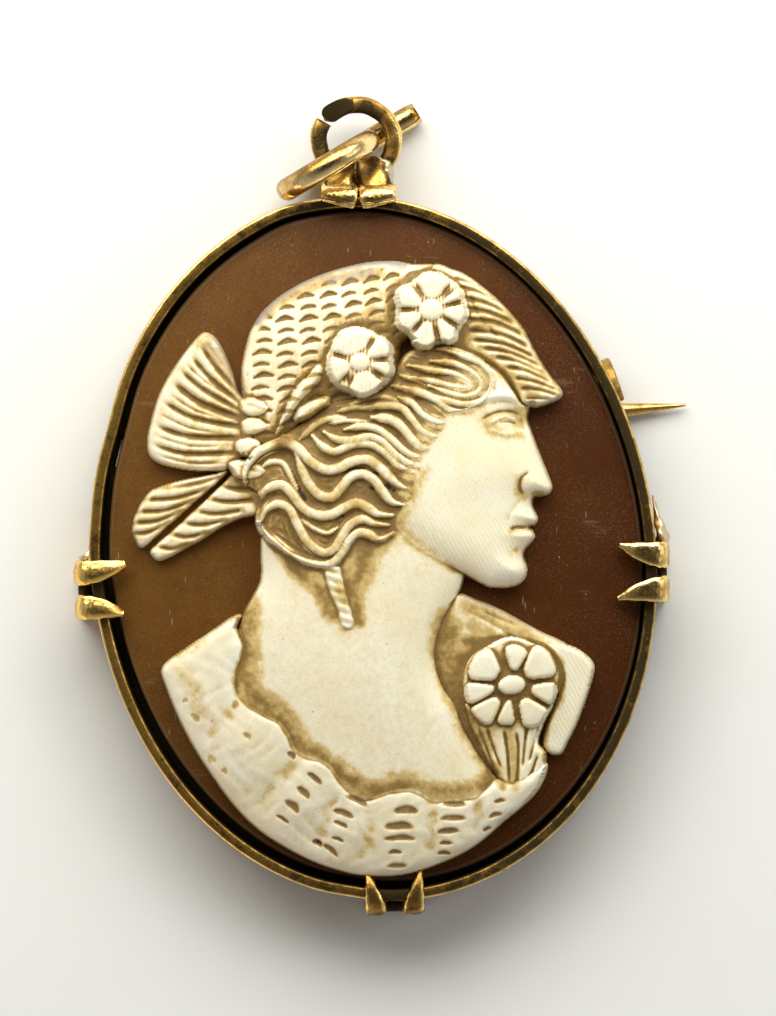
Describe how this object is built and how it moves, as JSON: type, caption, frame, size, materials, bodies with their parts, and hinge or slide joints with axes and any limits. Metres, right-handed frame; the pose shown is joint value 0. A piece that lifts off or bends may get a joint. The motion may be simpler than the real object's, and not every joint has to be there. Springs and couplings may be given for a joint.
{
  "type": "cameo pendant brooch",
  "caption": "Oval shell cameo with a carved profile bust, in a clawed gold frame with eyelet, jump ring, C-catch and hinged brooch pin.",
  "frame": {"origin": "centre of the oval frame, on the plane that the four forks' feet rest on", "axes": "+Z out of the cameo's face, +Y towards the eyelet, +X to the side where the brooch pin's point sticks out"},
  "size_m": [0.0296, 0.0397, 0.0066],
  "materials": {
    "shell_brown": "polished shell, brown layer",
    "shell_white": "satin carved shell, white layer",
    "gold": "worn low-carat gold with dirt in its corners"
  },
  "bodies": {
    "pendant": {"setting_frame": "gold", "cameo_ground": "shell_brown", "cameo_relief": "shell_white", "jump_ring": "gold", "hinge_rivet": "gold"},
    "pin": {"brooch_pin": "gold"}
  },
  "joints": [
    {"name": "pin_swing", "type": "hinge", "parent": "pendant", "child": "pin", "pos_m": [-0.0112, 0.00485, 0.00085], "axis": [-0.0854, 0.9963, 0], "range_deg": [0, 80]}
  ]
}
